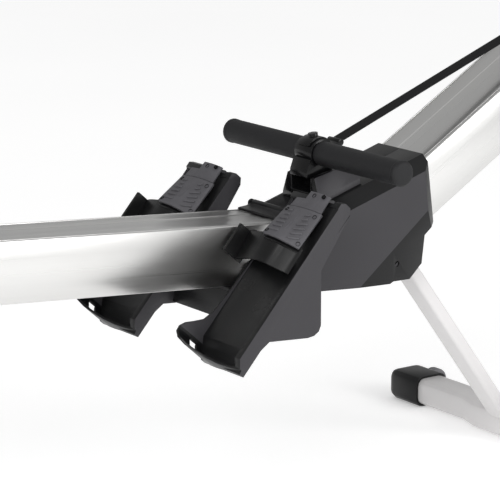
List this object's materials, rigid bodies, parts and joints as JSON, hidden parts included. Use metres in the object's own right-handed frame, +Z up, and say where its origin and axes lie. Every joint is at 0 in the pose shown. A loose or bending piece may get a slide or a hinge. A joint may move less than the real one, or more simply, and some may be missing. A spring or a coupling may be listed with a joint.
{
  "type": "rowing machine",
  "caption": "Folding rowing machine with an inclined aluminium seat rail, strapped footplates, a padded handle on a strap and a cased magnetic flywheel.",
  "frame": {"origin": "middle of the footprint on the floor", "axes": "+X towards the flywheel, +Y to the left of a seated rower, +Z up"},
  "size_m": [2.2854, 0.62, 1.19],
  "materials": {
    "black_plastic": "fine matte texture",
    "grey_plastic": "grained",
    "foam": "closed-cell foam sleeve",
    "rubber": "matte",
    "aluminium": "satin anodised",
    "white_paint": "satin powder coat",
    "black_paint": "satin powder coat",
    "steel": "zinc plated",
    "cast_iron": "turned and blackened",
    "webbing": "woven",
    "screen": "clear window over a display",
    "vinyl": "grained upholstery vinyl"
  },
  "bodies": {
    "frame": {"hub_bracket": "black_paint", "hub_cover_left": "black_plastic", "hub_cover_right": "black_plastic", "handle_cradle": "black_plastic", "front_beam": "aluminium", "front_leg": "white_paint", "front_stabilizer": "white_paint", "front_end_cap_left": "black_plastic", "front_end_cap_right": "black_plastic", "pedal_crossmember": "black_plastic", "footplate_left": "black_plastic", "footplate_right": "black_plastic", "foot_strap_left": "rubber", "foot_strap_right": "rubber", "strap_pad_left": "grey_plastic", "strap_pad_right": "grey_plastic", "strap_tongue_left": "grey_plastic", "strap_tongue_right": "grey_plastic", "hinge_pin": "black_paint", "flywheel_cover_left": "black_plastic", "flywheel_cover_right": "black_plastic", "flywheel_fork": "steel", "flywheel_axle": "steel", "drum_axle": "steel", "drive_belt": "rubber", "console_mast": "black_plastic", "pull_strap": "webbing"},
    "rail": {"seat_rail": "aluminium", "rail_end_cap": "black_plastic", "hinge_knuckle": "black_plastic", "rear_leg": "white_paint", "rear_stabilizer": "white_paint", "rear_end_cap_left": "black_plastic", "rear_end_cap_right": "black_plastic", "front_stop_left": "rubber", "front_stop_right": "rubber"},
    "seat": {"seat_cushion": "vinyl", "seat_base": "black_plastic", "seat_carriage": "steel"},
    "lock": {"rail_lock_knob": "black_plastic"},
    "handle": {"handle_core": "steel", "handle_grip_left": "foam", "handle_grip_right": "foam", "handle_collar": "black_plastic", "strap_clip": "black_plastic"},
    "flywheel_body": {"flywheel": "cast_iron"},
    "drum": {"strap_drum": "black_plastic"},
    "roller": {"guide_roller": "grey_plastic"},
    "brake": {"magnet_carrier": "steel"},
    "knob": {"tension_knob": "black_plastic"},
    "console": {"console_housing": "black_plastic", "console_screen": "screen"},
    "wheel_left": {"transport_wheel_left": "grey_plastic"},
    "button_left": {"console_button_left": "grey_plastic"},
    "roller_front_left": {"seat_roller_front_left": "grey_plastic"},
    "roller_rear_left": {"seat_roller_rear_left": "grey_plastic"},
    "wheel_right": {"transport_wheel_right": "grey_plastic"},
    "button_right": {"console_button_right": "grey_plastic"},
    "roller_front_right": {"seat_roller_front_right": "grey_plastic"},
    "roller_rear_right": {"seat_roller_rear_right": "grey_plastic"}
  },
  "joints": [
    {"name": "rail_fold", "type": "hinge", "parent": "frame", "child": "rail", "pos_m": [0.15984, 0, 0.46249], "axis": [0, 1, 0], "range_deg": [0, 82]},
    {"name": "lock_turn", "type": "hinge", "parent": "frame", "child": "lock", "pos_m": [0.11521, 0, 0.34799], "axis": [0.0743, 0, 0.9972], "range_deg": [0, 720]},
    {"name": "seat_slide", "type": "slide", "parent": "rail", "child": "seat", "axis": [0.9972, 0, -0.0743], "range_m": [-0.43, 0.48]},
    {"name": "handle_pull", "type": "slide", "parent": "frame", "child": "handle", "axis": [0.9816, 0, -0.1908], "range_m": [-0.95, 0], "deforming": ["pull_strap"]},
    {"name": "drum_turn", "type": "hinge", "parent": "frame", "child": "drum", "pos_m": [0.8233, 0, 0.74055], "axis": [0, 1, 0], "range_deg": [-1870, 0]},
    {"name": "roller_turn", "type": "hinge", "parent": "frame", "child": "roller", "pos_m": [0.7663, 0, 0.73892], "axis": [0, 1, 0], "range_deg": [-5300, 0]},
    {"name": "flywheel_spin", "type": "hinge", "parent": "frame", "child": "flywheel_body", "pos_m": [0.9383, 0, 0.783], "axis": [0, 1, 0], "continuous": true},
    {"name": "tension_turn", "type": "hinge", "parent": "frame", "child": "knob", "pos_m": [0.8733, 0, 0.862], "axis": [0, -1, 0], "range_deg": [0, 270]},
    {"name": "brake_swing", "type": "hinge", "parent": "frame", "child": "brake", "pos_m": [0.8783, 0, 0.611], "axis": [0, 1, 0], "range_deg": [0, 6]},
    {"name": "console_tilt", "type": "hinge", "parent": "frame", "child": "console", "pos_m": [0.8733, 0, 1.058], "axis": [0, 1, 0], "range_deg": [-20, 25]},
    {"name": "wheel_turn_left", "type": "hinge", "parent": "frame", "child": "wheel_left", "pos_m": [0.7213, 0.28, 0.027], "axis": [0, 1, 0], "continuous": true},
    {"name": "button_press_left", "type": "slide", "parent": "console", "child": "button_left", "axis": [0.8829, 0, -0.4695], "range_m": [0, 0.0018], "stiffness_N_per_m": 400},
    {"name": "roller_turn_front_left", "type": "hinge", "parent": "seat", "child": "roller_front_left", "pos_m": [-0.48375, 0.036, 0.51886], "axis": [0, 1, 0], "range_deg": [-1545, 1725]},
    {"name": "roller_turn_rear_left", "type": "hinge", "parent": "seat", "child": "roller_rear_left", "pos_m": [-0.64331, 0.036, 0.53074], "axis": [0, 1, 0], "range_deg": [-1545, 1725]},
    {"name": "wheel_turn_right", "type": "hinge", "parent": "frame", "child": "wheel_right", "pos_m": [0.7213, -0.28, 0.027], "axis": [0, 1, 0], "continuous": true},
    {"name": "button_press_right", "type": "slide", "parent": "console", "child": "button_right", "axis": [0.8829, 0, -0.4695], "range_m": [0, 0.0018], "stiffness_N_per_m": 400},
    {"name": "roller_turn_front_right", "type": "hinge", "parent": "seat", "child": "roller_front_right", "pos_m": [-0.48375, -0.036, 0.51886], "axis": [0, 1, 0], "range_deg": [-1545, 1725]},
    {"name": "roller_turn_rear_right", "type": "hinge", "parent": "seat", "child": "roller_rear_right", "pos_m": [-0.64331, -0.036, 0.53074], "axis": [0, 1, 0], "range_deg": [-1545, 1725]}
  ],
  "couplings": [
    {"joint": "drum_turn", "follows": "handle_pull", "rad_per_m": 34.13},
    {"joint": "roller_turn", "follows": "handle_pull", "rad_per_m": 97.087},
    {"joint": "brake_swing", "follows": "tension_turn", "ratio": 0.0222},
    {"joint": "roller_turn_front_left", "follows": "seat_slide", "rad_per_m": 62.5},
    {"joint": "roller_turn_rear_left", "follows": "seat_slide", "rad_per_m": 62.5},
    {"joint": "roller_turn_front_right", "follows": "seat_slide", "rad_per_m": 62.5},
    {"joint": "roller_turn_rear_right", "follows": "seat_slide", "rad_per_m": 62.5}
  ]
}
